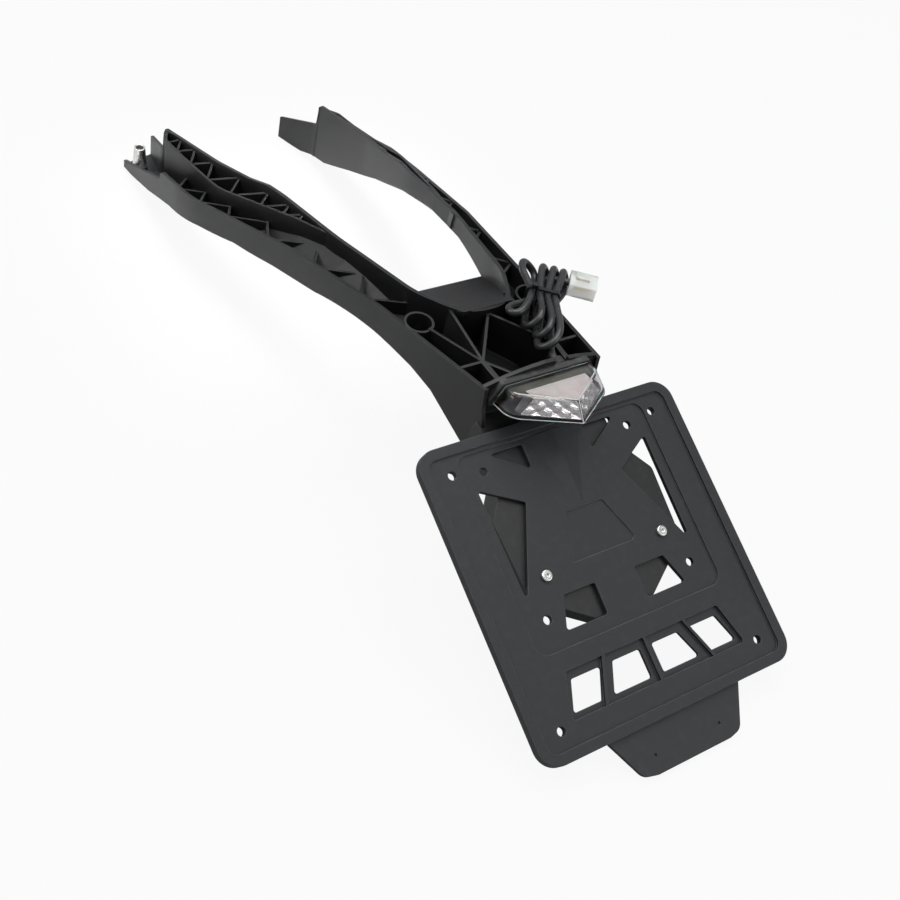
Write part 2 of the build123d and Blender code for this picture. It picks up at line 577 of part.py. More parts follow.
def build_cord_pieces():
    """Hank, tie, the lead from the lamp, the lead to the connector, the connector and its terminals."""
    hank = build_hank()
    first, last = strand_side(0), strand_side(len(FINGERS) - 1)
    width = last - first + 2 * (CABLE_R + TIE_GAP)
    height = 2 * (HANK_LIFT + CABLE_R + TIE_GAP)
    loop = RectangleRounded(width + 2 * TIE_T, height + 2 * TIE_T, CABLE_R + TIE_T)
    loop -= RectangleRounded(width, height, CABLE_R)
    run = Vector(1, 0, 0).rotate(Axis.Z, HANK_TURN)
    at = Plane(origin=hank_point(0, 0, 0), x_dir=run.rotate(Axis.Z, 90), z_dir=run)
    tie = at * extrude(loop, amount=TIE_W / 2, both=True)
    head = Box(*TIE_HEAD, align=(Align.CENTER, Align.MIN, Align.CENTER))
    tie += at * Pos(width / 2 - TIE_HEAD_IN, height / 2 + TIE_T, 0) * head

    ex, ez = CABLE_EXIT
    grommet = Pos(ex, -REAR_WALL_S + GROMMET_L / 2, ez) * Rot(90, 0, 0)
    grommet = grommet * (Cylinder(GROMMET_R, GROMMET_L) - Cylinder(CABLE_R, 20))
    lead = [(ex, -REAR_WALL_S, ez), (ex, LEAD_OUT - REAR_WALL_S, ez)]
    under = [(*LEAD_UNDER, -HANK_LIFT), (-TIE_RUN, last, -HANK_LIFT), (0, last, -HANK_LIFT)]
    lead = tube(cord_path(lead + [hank_point(*p) for p in under]))
    cx, cs, cz = CONNECTOR_AT
    l, w, t = CONNECTOR
    at = Pos(cx, -cs, cz) * Rot(0, 0, CONNECTOR_TURN)
    body = fillet(Box(l, w, t).edges().filter_by(Axis.X), CONNECTOR_R)
    body -= Pos(CONNECTOR_BACK, 0, 0) * Box(l, w - 2 * CONNECTOR_WALL, t - 2 * CONNECTOR_WALL)
    body += Pos(LATCH_BACK, 0, t / 2) * Box(*LATCH, align=(Align.CENTER, Align.CENTER, Align.MIN))
    pins = Part()
    for side in (-1, 1):
        foot = CONNECTOR_BACK - l / 2
        pins += Pos(foot + TERMINAL[0] / 2, side * TERMINAL_PITCH / 2, 0) * Box(*TERMINAL)
    body, pins = at * body, at * pins
    back = at * Pos(-l / 2, 0, 0)
    route = [(0, first, HANK_LIFT), (-TIE_RUN, first, HANK_LIFT)] + TAIL_CURL + TAIL_RETURN + TAIL_RUN
    tail = tube(cord_path([hank_point(*p) for p in route] + [tuple(back.position)]))
    tail -= at * Pos(l / 2, 0, 0) * Box(2 * l, 2 * w, 4 * t)
    return hank, tie, grommet, lead, tail, body, pins


def main():
    """Build every piece and write one file for each."""
    frame = build_tail_frame()
    screws, nuts = build_panel_fixings()
    base, seal, board, leds, reflector, lens, lamp_screws = build_lamp()
    hank, tie, grommet, lead, tail, body, pins = build_cord_pieces()
    pieces = {
        "tail_frame": frame, "plate_panel": build_panel(), "panel_screws": screws, "panel_nuts": nuts,
        "left_bush": build_bush(-1), "right_bush": build_bush(1),
        "lamp_base": base, "lamp_seal": seal, "lamp_board": board, "lamp_leds": leds,
        "lamp_reflector": reflector, "lamp_lens": lens, "lamp_screws": lamp_screws,
        "cable_grommet": grommet, "lamp_cable": lead, "cable_hank": hank, "cable_tie": tie,
        "connector_lead": tail, "connector_body": body, "connector_terminals": pins,
    }
    for name, shape in pieces.items():
        box = shape.bounding_box()
        print(name, len(shape.solids()), round(shape.volume), box.min, box.max)
        export_step(shape, f"parts/{name}.step")


main()
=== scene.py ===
"""Looks of the tail tidy: moulded frame and plate panel, clear tail lamp, lamp cable tied in a hank.

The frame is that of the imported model: origin midway between the tops of the two front bushes, X to the right,
Y forward, Z up.  The lamp and the cable hold their sizes in millimetres, everything else is in metres.
"""

import logging
import math
from dataclasses import dataclass, field
from enum import Enum
from functools import lru_cache
from typing import Dict, List, Optional, Sequence, Tuple, Union

import bpy
from mathutils import Matrix, Vector


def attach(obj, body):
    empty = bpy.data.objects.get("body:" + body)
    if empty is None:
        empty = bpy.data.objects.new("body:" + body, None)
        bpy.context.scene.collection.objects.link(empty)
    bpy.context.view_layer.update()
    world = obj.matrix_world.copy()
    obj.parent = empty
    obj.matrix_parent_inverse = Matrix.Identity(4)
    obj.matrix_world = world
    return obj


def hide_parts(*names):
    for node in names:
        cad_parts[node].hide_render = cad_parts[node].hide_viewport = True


logging.basicConfig(level=logging.INFO, format="%(message)s")
log = logging.getLogger("tail_tidy")

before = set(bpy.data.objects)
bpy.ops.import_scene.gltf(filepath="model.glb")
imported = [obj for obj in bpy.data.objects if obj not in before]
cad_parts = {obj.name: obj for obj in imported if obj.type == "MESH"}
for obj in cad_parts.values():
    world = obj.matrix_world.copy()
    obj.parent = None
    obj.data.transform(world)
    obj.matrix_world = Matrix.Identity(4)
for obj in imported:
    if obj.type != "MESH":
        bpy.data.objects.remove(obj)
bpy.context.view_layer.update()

Colour = Tuple[float, float, float]
Flat = Tuple[float, float]
Point = Tuple[float, float, float]
Span = Tuple[float, float]
Socket = bpy.types.NodeSocket
Value = Union[Socket, float, Tuple[float, ...]]

MM = 0.001
FULL: Span = (0.0, 1.0)
NUMBER = "NodeSocketFloat"
VECTOR = "NodeSocketVector"


class Grain(Enum):
    """Surface texture of a moulding: how fine it is, per metre, and how deep, in metres."""

    SPARK = (2600.0, 0.00006)
    SATIN = (4200.0, 0.00003)
    SMOOTH = (900.0, 0.00002)

    @property
    def scale(self) -> float:
        """Return how fine the grain is, per metre."""
        return self.value[0]

    @property
    def depth(self) -> float:
        """Return how deep the grain is, in metres."""
        return self.value[1]


class TraySlot(Enum):
    """Material slot of each kind of face of the lamp's tray."""

    FACET = 0
    PANE = 1
    DECK = 2
    DARK = 3


class Way(Enum):
    """Which side of the tie a fold of the hank lies on."""

    FRONT = 1
    BEHIND = -1


def new_object(name: str, data: bpy.types.ID) -> bpy.types.Object:
    """Make an object and add it to the scene.

    Args:
        name: name of the object.
        data: its mesh, curve, camera or light.

    Returns:
        The new object.
    """
    made = bpy.data.objects.new(name, data)
    bpy.context.scene.collection.objects.link(made)
    return made


def toned(colour: Colour, gain: float = 1.0, lift: float = 0.0) -> Colour:
    """Return a colour made lighter or darker, held at white."""
    return tuple(min(1.0, channel * gain + lift) for channel in colour)


def new_group(name: str, inputs: Dict[str, float], outputs: Dict[str, str]) -> bpy.types.ShaderNodeTree:
    """Start a shader node group with its sockets.

    Args:
        name: name of the group.
        inputs: value of each float input by name.
        outputs: socket type of each output by name.

    Returns:
        The group, with an input and an output node in it.
    """
    group = bpy.data.node_groups.new(name, "ShaderNodeTree")
    for label, value in inputs.items():
        socket = group.interface.new_socket(name=label, in_out="INPUT", socket_type=NUMBER)
        socket.default_value = value
    for label, kind in outputs.items():
        group.interface.new_socket(name=label, in_out="OUTPUT", socket_type=kind)
    group.nodes.new("NodeGroupInput").name = "in"
    group.nodes.new("NodeGroupOutput").name = "out"
    return group


class Wiring:
    """Adds and links the nodes of one tree."""

    def __init__(self, tree: bpy.types.NodeTree) -> None:
        """Keep the tree."""
        self.tree = tree

    def add(self, kind: str, **values: object) -> bpy.types.Node:
        """Add a node.

        Args:
            kind: node type name without its prefix.
            values: properties of the node by attribute name.

        Returns:
            The new node.
        """
        node = self.tree.nodes.new("ShaderNode" + kind)
        for key, value in values.items():
            setattr(node, key, value)
        return node

    def link(self, source: Socket, target: Socket) -> None:
        """Join an output to an input."""
        self.tree.links.new(source, target)

    def feed(self, target: Socket, value: Value) -> None:
        """Link a socket to an input, or set the input's own value.

        Args:
            target: the input.
            value: a socket or a plain value.
        """
        if isinstance(value, Socket):
            self.link(value, target)
        else:
            target.default_value = value

    def where(self) -> Socket:
        """Return the place on the piece, in the piece's own frame."""
        return self.add("TexCoord").outputs["Object"]

    def math(self, operation: str, a: Value, b: Value, clamp: bool = False) -> Socket:
        """Work out a value from two others.

        Args:
            operation: Blender's name of the sum.
            a: first socket or number.
            b: second socket or number.
            clamp: keep the result from 0 to 1.

        Returns:
            The socket with the result.
        """
        node = self.add("Math", operation=operation, use_clamp=clamp)
        self.feed(node.inputs[0], a)
        self.feed(node.inputs[1], b)
        return node.outputs[0]

    def spread(self, value: Socket, own: Span, onto: Span = FULL) -> Socket:
        """Map a value from one range to another, held at its ends.

        Args:
            value: socket to map.
            own: its own range.
            onto: the range that it is mapped to.

        Returns:
            The mapped socket.
        """
        node = self.add("MapRange", clamp=True)
        self.link(value, node.inputs["Value"])
        for name, number in zip(("From Min", "From Max", "To Min", "To Max"), (*own, *onto)):
            node.inputs[name].default_value = number
        return node.outputs["Result"]

    def blend(self, share: Value, a: Value, b: Value) -> Socket:
        """Mix two colours.

        Args:
            share: how much of the second one shows.
            a: first colour.
            b: second colour.

        Returns:
            The socket with the mixed colour.
        """
        node = self.add("Mix", data_type="RGBA")
        self.feed(node.inputs[0], share)
        # The node's inputs 6 and 7 and its output 2 are the ones for colours.
        for target, value in ((node.inputs[6], a), (node.inputs[7], b)):
            self.feed(target, (*value, 1.0) if isinstance(value, tuple) else value)
        return node.outputs[2]

    def either(self, share: Socket, a: Socket, b: Socket) -> Socket:
        """Mix two shaders.

        Args:
            share: how much of the second one shows.
            a: first shader.
            b: second shader.

        Returns:
            The socket with the mixed shader.
        """
        node = self.add("MixShader")
        for target, source in zip(node.inputs, (share, a, b)):
            self.link(source, target)
        return node.outputs[0]

    def noise(self, where: Socket, scale: Value, detail: float) -> Socket:
        """Cloudy noise.

        Args:
            where: coordinates.
            scale: how fine it is, per metre.
            detail: octaves.

        Returns:
            The noise value.
        """
        node = self.add("TexNoise")
        self.link(where, node.inputs["Vector"])
        self.feed(node.inputs["Scale"], scale)
        node.inputs["Detail"].default_value = detail
        return node.outputs["Fac"]

    def seen(self) -> Socket:
        """Find the rays that show the bright surroundings: the camera's own, also through clear pieces.

        Returns:
            The mask of these rays.
        """
        path = self.add("LightPath").outputs
        # A depth below one half means that the ray has met no glossy surface yet.
        straight = self.math("LESS_THAN", path["Glossy Depth"], 0.5)
        through = self.math("MULTIPLY", path["Is Transmission Ray"], straight)
        return self.math("MAXIMUM", path["Is Camera Ray"], through)


def mould_group() -> bpy.types.ShaderNodeTree:
    """Build the group that gives a moulding its sparked grain, its cloudy tone and its fine scuffs.

    Returns:
        The group.
    """
    group = new_group(
        "mould_surface",
        {"Grain Scale": 2600.0, "Cloud Scale": 22.0, "Scuff Scale": 60.0},
        {"Grain": NUMBER, "Cloud": NUMBER, "Scuff": NUMBER},
    )
    fine_share = 0.7
    cloud_band, scuff_band = (0.32, 0.68), (0.60, 0.74)
    scuff_stretch, scuff_turn = (1.0, 9.0, 1.0), (0.3, 0.2, 0.6)
    wire = Wiring(group)
    sockets, out = group.nodes["in"].outputs, group.nodes["out"].inputs
    where = wire.where()
    pebble = wire.add("TexVoronoi", feature="SMOOTH_F1")
    wire.link(where, pebble.inputs["Vector"])
    wire.link(sockets["Grain Scale"], pebble.inputs["Scale"])
    fine = wire.math("MULTIPLY", wire.noise(where, sockets["Grain Scale"], detail=3.0), fine_share)
    wire.link(wire.math("ADD", pebble.outputs["Distance"], fine), out["Grain"])
    cloud = wire.noise(where, sockets["Cloud Scale"], detail=4.0)
    wire.link(wire.spread(cloud, cloud_band), out["Cloud"])
    stretch = wire.add("Mapping")
    wire.link(where, stretch.inputs["Vector"])
    stretch.inputs["Scale"].default_value = scuff_stretch
    stretch.inputs["Rotation"].default_value = scuff_turn
    streak = wire.noise(stretch.outputs["Vector"], sockets["Scuff Scale"], detail=5.0)
    wire.link(wire.spread(streak, scuff_band), out["Scuff"])
    return group


def edge_group() -> bpy.types.ShaderNodeTree:
    """Build the group that finds a piece's edges, rounds them in the light and gives the mask of their lighter
    colour: partly rubbed wear, partly painted highlight.

    Returns:
        The group.
    """
    group = new_group("rounded_edges", {"Rub": 1.0, "Break Scale": 120.0}, {"Edge": NUMBER, "Normal": VECTOR})
    round_radius, round_samples = 0.0007, 6
    edge_band, break_band, break_level = (0.995, 0.80), (0.3, 0.62), (0.45, 1.0)
    wire = Wiring(group)
    sockets, out = group.nodes["in"].outputs, group.nodes["out"].inputs
    bevel = wire.add("Bevel", samples=round_samples)
    bevel.inputs["Radius"].default_value = round_radius
    dot = wire.add("VectorMath", operation="DOT_PRODUCT")
    wire.link(bevel.outputs["Normal"], dot.inputs[0])
    wire.link(wire.add("NewGeometry").outputs["Normal"], dot.inputs[1])
    # The edge mask, broken into patches, carries both rubbed wear and a painted highlight along the edges.
    edge = wire.spread(dot.outputs["Value"], edge_band)
    patches = wire.noise(wire.where(), sockets["Break Scale"], detail=3.0)
    broken = wire.math("MULTIPLY", edge, wire.spread(patches, break_band, break_level))
    wire.link(wire.math("MULTIPLY", broken, sockets["Rub"], clamp=True), out["Edge"])
    wire.link(bevel.outputs["Normal"], out["Normal"])
    return group


def dust_group() -> bpy.types.ShaderNodeTree:
    """Build the group that lays a little dust on faces that look up.

    Returns:
        The group.
    """
    group = new_group("fine_dust", {"Dust Scale": 180.0}, {"Dust": NUMBER})
    up_band, speck_band = (0.2, 1.0), (0.5, 0.75)
    wire = Wiring(group)
    sockets, out = group.nodes["in"].outputs, group.nodes["out"].inputs
    split = wire.add("SeparateXYZ")
    wire.link(wire.add("NewGeometry").outputs["Normal"], split.inputs[0])
    up = wire.spread(split.outputs["Z"], up_band)
    speck = wire.noise(wire.where(), sockets["Dust Scale"], detail=6.0)
    wire.link(wire.math("MULTIPLY", up, wire.spread(speck, speck_band)), out["Dust"])
    return group


def ring_group() -> bpy.types.ShaderNodeTree:
    """Build the group for turned metal: fine rings round a vertical axis and a soft stain.

    Returns:
        The group.
    """
    group = new_group("turned_rings", {"Ring Scale": 1500.0}, {"Ring": NUMBER, "Stain": NUMBER})
    ring_waver = 1.5
    stain_scale, stain_band = 160.0, (0.35, 0.7)
    wire = Wiring(group)
    sockets, out = group.nodes["in"].outputs, group.nodes["out"].inputs
    where = wire.where()
    wave = wire.add("TexWave", wave_type="BANDS", bands_direction="Z")
    wire.link(where, wave.inputs["Vector"])
    wire.link(sockets["Ring Scale"], wave.inputs["Scale"])
    wave.inputs["Distortion"].default_value = ring_waver
    wire.link(wave.outputs["Fac"], out["Ring"])
    stain = wire.noise(where, stain_scale, detail=4.0)
    wire.link(wire.spread(stain, stain_band), out["Stain"])
    return group


MOULD = mould_group()
EDGE = edge_group()
DUST = dust_group()
RING = ring_group()


class Sheet:
    """One material being put together round its own surface shader."""

    def __init__(self, name: str) -> None:
        """Make an empty material with a Principled surface.

        Args:
            name: name of the material.
        """
        self.material = bpy.data.materials.new(name)
        self.material.use_nodes = True
        self.wiring = Wiring(self.material.node_tree)
        self.shader = self.material.node_tree.nodes["Principled BSDF"]

    def group(self, tree: bpy.types.ShaderNodeTree, **values: float) -> bpy.types.NodeOutputs:
        """Place a shared group.

        Args:
            tree: which group.
            values: its inputs, with spaces as underscores.

        Returns:
            The outputs of the placed group.
        """
        node = self.wiring.add("Group", node_tree=tree)
        for label, value in values.items():
            node.inputs[label.replace("_", " ")].default_value = value
        return node.outputs

    def put(self, **values: Value) -> None:
        """Set or link the shader's sockets, named with spaces as underscores."""
        for label, value in values.items():
            self.wiring.feed(self.shader.inputs[label.replace("_", " ")], value)

    def bump(self, height: Socket, depth: float, strength: float, normal: Optional[Socket] = None) -> None:
        """Give the shader a bumped normal.

        Args:
            height: height socket.
            depth: how high it stands, in metres.
            strength: how much of it is used.
            normal: normal that it starts from, if not the mesh's own.
        """
        node = self.wiring.add("Bump")
        node.inputs["Distance"].default_value = depth
        node.inputs["Strength"].default_value = strength
        self.wiring.link(height, node.inputs["Height"])
        if normal is not None:
            self.wiring.link(normal, node.inputs["Normal"])
        self.wiring.link(node.outputs["Normal"], self.shader.inputs["Normal"])


@dataclass(frozen=True)
class Finish:
    """A named finish that builds its own material."""

    name: str

    def make(self) -> bpy.types.Material:
        """Build the material, in the way of each kind of finish."""
        raise NotImplementedError


@lru_cache(maxsize=None)
def material_of(finish: Finish) -> bpy.types.Material:
    """Return the one material of a finish, made when it is first asked for."""
    return finish.make()


@dataclass(frozen=True)
class MouldedFinish(Finish):
    """Moulded plastic or rubber with grain, cloudy tone, edges lighter by rubbed wear and painted highlight,
    and a little dust.
    """

    colour: Colour
    cloud: Colour
    rub_and_highlight_colour: Colour
    roughness: Span
    grain: Grain = Grain.SPARK
    rub_and_highlight: float = 0.8
    dust: float = 0.25
    specular: float = 0.5
    dust_lift: float = 0.16
    scuff: float = 0.06
    relief: float = 0.6

    def make(self) -> bpy.types.Material:
        """Build the material.

        Returns:
            The new material.
        """
        sheet = Sheet(self.name)
        wire = sheet.wiring
        mould = sheet.group(MOULD, Grain_Scale=self.grain.scale)
        edge = sheet.group(EDGE, Rub=self.rub_and_highlight)
        dust = sheet.group(DUST)
        body = wire.blend(mould["Cloud"], self.colour, self.cloud)
        # Lighter colour on the edges: partly rubbed wear, partly a painted highlight where the rounded edges
        # catch the light.
        body = wire.blend(edge["Edge"], body, self.rub_and_highlight_colour)
        dusty = toned(self.cloud, lift=self.dust_lift)
        body = wire.blend(wire.math("MULTIPLY", dust["Dust"], self.dust), body, dusty)
        rough = wire.spread(mould["Cloud"], FULL, self.roughness)
        rough = wire.math("ADD", rough, wire.math("MULTIPLY", mould["Scuff"], self.scuff), clamp=True)
        sheet.put(Base_Color=body, Roughness=rough, Specular_IOR_Level=self.specular)
        sheet.bump(mould["Grain"], self.grain.depth, self.relief, edge["Normal"])
        return sheet.material


@dataclass(frozen=True)
class MetalFinish(Finish):
    """Bright turned or plated metal with fine rings and a soft stain."""

    colour: Colour
    stain: Colour
    roughness: Span
    ring_scale: float = 1500.0
    ring_depth: float = 0.00004
    stain_share: float = 0.6
    rub_and_highlight: float = 0.6
    rub_and_highlight_gain: float = 1.15
    relief: float = 0.35

    def make(self) -> bpy.types.Material:
        """Build the material.

        Returns:
            The new material.
        """
        sheet = Sheet(self.name)
        wire = sheet.wiring
        ring = sheet.group(RING, Ring_Scale=self.ring_scale)
        edge = sheet.group(EDGE, Rub=self.rub_and_highlight)
        body = wire.blend(wire.math("MULTIPLY", ring["Stain"], self.stain_share), self.colour, self.stain)
        # Brighter metal on the edges: partly rubbed wear, partly painted highlight.
        body = wire.blend(edge["Edge"], body, toned(self.colour, gain=self.rub_and_highlight_gain))
        rough = wire.spread(ring["Stain"], FULL, self.roughness)
        sheet.put(Base_Color=body, Roughness=rough, Metallic=1.0)
        sheet.bump(ring["Ring"], self.ring_depth, self.relief, edge["Normal"])
        return sheet.material


@dataclass(frozen=True)
class LensFinish(Finish):
    """Clear moulded lens with a faint flow in its thickness."""

    tint: Colour
    roughness: Span
    flow_gain: float = 0.97
    ior: float = 1.49
    grain_scale: float = 500.0
    grain_depth: float = 0.00002
    cloud_scale: float = 60.0
    rub_and_highlight: float = 0.5
    relief: float = 0.15

    def make(self) -> bpy.types.Material:
        """Build the material.

        Returns:
            The new material.
        """
        sheet = Sheet(self.name)
        wire = sheet.wiring
        mould = sheet.group(MOULD, Grain_Scale=self.grain_scale, Cloud_Scale=self.cloud_scale)
        edge = sheet.group(EDGE, Rub=self.rub_and_highlight)
        tone = wire.blend(mould["Cloud"], self.tint, toned(self.tint, gain=self.flow_gain))
        rough = wire.spread(mould["Cloud"], FULL, self.roughness)
        sheet.put(Base_Color=tone, Roughness=rough, Transmission_Weight=1.0, IOR=self.ior)
        sheet.bump(mould["Grain"], self.grain_depth, self.relief, edge["Normal"])
        return sheet.material


@dataclass(frozen=True)
class MilkyFinish(Finish):
    """Milky nylon or tinted dome that lets light into its body."""

    colour: Colour
    shade: Colour
    roughness: Span
    depth: float
    clear: float = 0.0
    milk: float = 0.35
    grain_scale: float = 1800.0
    grain_depth: float = 0.00003
    cloud_scale: float = 140.0
    rub_and_highlight: float = 0.5
    rub_and_highlight_lift: float = 0.06
    relief: float = 0.3

    def make(self) -> bpy.types.Material:
        """Build the material.

        Returns:
            The new material.
        """
        sheet = Sheet(self.name)
        wire = sheet.wiring
        mould = sheet.group(MOULD, Grain_Scale=self.grain_scale, Cloud_Scale=self.cloud_scale)
        edge = sheet.group(EDGE, Rub=self.rub_and_highlight)
        body = wire.blend(mould["Cloud"], self.colour, self.shade)
        # Lighter colour on the edges: partly rubbed wear, partly painted highlight.
        body = wire.blend(edge["Edge"], body, toned(self.colour, lift=self.rub_and_highlight_lift))
        rough = wire.spread(mould["Cloud"], FULL, self.roughness)
        sheet.put(Base_Color=body, Roughness=rough, Transmission_Weight=self.clear)
        sheet.put(Subsurface_Weight=self.milk, Subsurface_Scale=self.depth)
        sheet.bump(mould["Grain"], self.grain_depth, self.relief, edge["Normal"])
        return sheet.material


@dataclass(frozen=True)
class BoardFinish(Finish):
    """Printed board: dark mask over paler copper tracks."""

    mask: Colour
    track: Colour
    roughness: Span = (0.3, 0.45)
    track_scale: float = 160.0
    track_depth: float = 0.00005
    grain_scale: float = 1500.0
    shade_share: float = 0.3
    shade_gain: float = 0.6
    relief: float = 0.5

    def make(self) -> bpy.types.Material:
        """Build the material.

        Returns:
            The new material.
        """
        sheet = Sheet(self.name)
        wire = sheet.wiring
        brick = wire.add("TexBrick")
        wire.link(wire.where(), brick.inputs["Vector"])
        brick.inputs["Scale"].default_value = self.track_scale
        mould = sheet.group(MOULD, Grain_Scale=self.grain_scale)
        body = wire.blend(brick.outputs["Fac"], self.mask, self.track)
        shaded = wire.math("MULTIPLY", mould["Cloud"], self.shade_share)
        body = wire.blend(shaded, body, toned(self.mask, gain=self.shade_gain))
        sheet.put(Base_Color=body, Roughness=wire.spread(mould["Cloud"], FULL, self.roughness))
        sheet.bump(brick.outputs["Fac"], self.track_depth, self.relief)
        return sheet.material


# The rubbed colours below are the lighter edge colours: partly wear, partly painted highlight.
FRAME_BLACK = MouldedFinish(
    "frame_black", colour=(0.0075, 0.0075, 0.008), cloud=(0.009, 0.009, 0.0095),
    rub_and_highlight_colour=(0.055, 0.055, 0.057), roughness=(0.38, 0.42), rub_and_highlight=0.9, dust=0.05, specular=0.42,
)
PANEL_GREY = MouldedFinish(
    "panel_grey", colour=(0.0140, 0.0148, 0.0170), cloud=(0.0155, 0.0163, 0.0185),
    rub_and_highlight_colour=(0.095, 0.099, 0.108), roughness=(0.50, 0.54), rub_and_highlight=0.9, dust=0.03, specular=0.36,
)
LAMP_BLACK = MouldedFinish(
    "lamp_black", colour=(0.012, 0.012, 0.013), cloud=(0.018, 0.018, 0.019),
    rub_and_highlight_colour=(0.06, 0.06, 0.062), roughness=(0.30, 0.42), grain=Grain.SATIN,
)
RUBBER = MouldedFinish(
    "soft_rubber", colour=(0.010, 0.010, 0.010), cloud=(0.016, 0.016, 0.016),
    rub_and_highlight_colour=(0.03, 0.03, 0.03), roughness=(0.6, 0.75), grain=Grain.SATIN, rub_and_highlight=0.4,
)
CABLE = MouldedFinish(
    "cable_sleeve", colour=(0.019, 0.019, 0.020), cloud=(0.025, 0.025, 0.026),
    rub_and_highlight_colour=(0.03, 0.03, 0.03), roughness=(0.24, 0.34), grain=Grain.SMOOTH, rub_and_highlight=0.2, dust=0.1,
)
TIE = MouldedFinish(
    "tie_nylon", colour=(0.008, 0.008, 0.0085), cloud=(0.011, 0.011, 0.0115),
    rub_and_highlight_colour=(0.02, 0.02, 0.02), roughness=(0.34, 0.42), grain=Grain.SMOOTH, rub_and_highlight=0.3, dust=0.05, specular=0.3,
)
DECK = MouldedFinish(
    "tray_deck", colour=(0.034, 0.031, 0.015), cloud=(0.044, 0.040, 0.022),
    rub_and_highlight_colour=(0.07, 0.07, 0.05), roughness=(0.35, 0.50), grain=Grain.SATIN, rub_and_highlight=0.3,
)
BUSH_STEEL = MetalFinish(
    "bush_steel", colour=(0.93, 0.92, 0.90), stain=(0.76, 0.75, 0.73), roughness=(0.26, 0.36),
)
SCREW_STEEL = MetalFinish(
    "screw_steel", colour=(0.74, 0.74, 0.72), stain=(0.5, 0.5, 0.48), roughness=(0.2, 0.34), ring_scale=900.0,
)
REFLECTOR = MetalFinish(
    "reflector_plating", colour=(0.72, 0.69, 0.685), stain=(0.56, 0.53, 0.53), roughness=(0.20, 0.32),
    ring_scale=420.0, ring_depth=0.0002,
)
BRASS = MetalFinish(
    "terminal_brass", colour=(0.78, 0.60, 0.30), stain=(0.55, 0.40, 0.18), roughness=(0.22, 0.36),
    ring_scale=800.0,
)
LENS = LensFinish("lens_clear", tint=(0.985, 0.985, 0.99), roughness=(0.01, 0.04))
CONNECTOR = MilkyFinish(
    "connector_nylon", colour=(0.97, 0.975, 0.96), shade=(0.95, 0.955, 0.94), roughness=(0.30, 0.40),
    depth=0.006, clear=0.76,
)
LED_RED = MilkyFinish(
    "led_dome", colour=(0.60, 0.06, 0.05), shade=(0.45, 0.03, 0.03), roughness=(0.08, 0.16),
    depth=0.002, clear=0.5,
)
PANE = MilkyFinish(
    "tray_pane", colour=(0.62, 0.55, 0.54), shade=(0.50, 0.45, 0.44), roughness=(0.25, 0.40), depth=0.001,
)
# Near-white tubes along the lens's edges and round the pane: painted highlights of the clear lens.
PAINTED_HIGHLIGHT = MilkyFinish(
    "lens_highlight", colour=(0.93, 0.91, 0.88), shade=(0.86, 0.84, 0.82), roughness=(0.14, 0.24),
    depth=0.002, clear=0.25,
)
BOARD = BoardFinish("lamp_board", mask=(0.030, 0.032, 0.022), track=(0.060, 0.060, 0.045))


@dataclass(frozen=True)
class SoftLamp:
    """One square soft lamp that the camera doesn't see.  Its power is in watts."""

    name: str
    at: Point
    aim: Point
    size: float
    power: float
    spread_deg: float = 180.0

    def hang(self) -> None:
        """Add the lamp to the scene."""
        data = bpy.data.lights.new(self.name, "AREA")
        data.size, data.energy, data.spread = self.size, self.power, math.radians(self.spread_deg)
        lamp = new_object(self.name, data)
        lamp.location = self.at
        lamp.visible_camera = False
        lamp.rotation_euler = (Vector(self.aim) - Vector(self.at)).to_track_quat("-Z", "Y").to_euler()


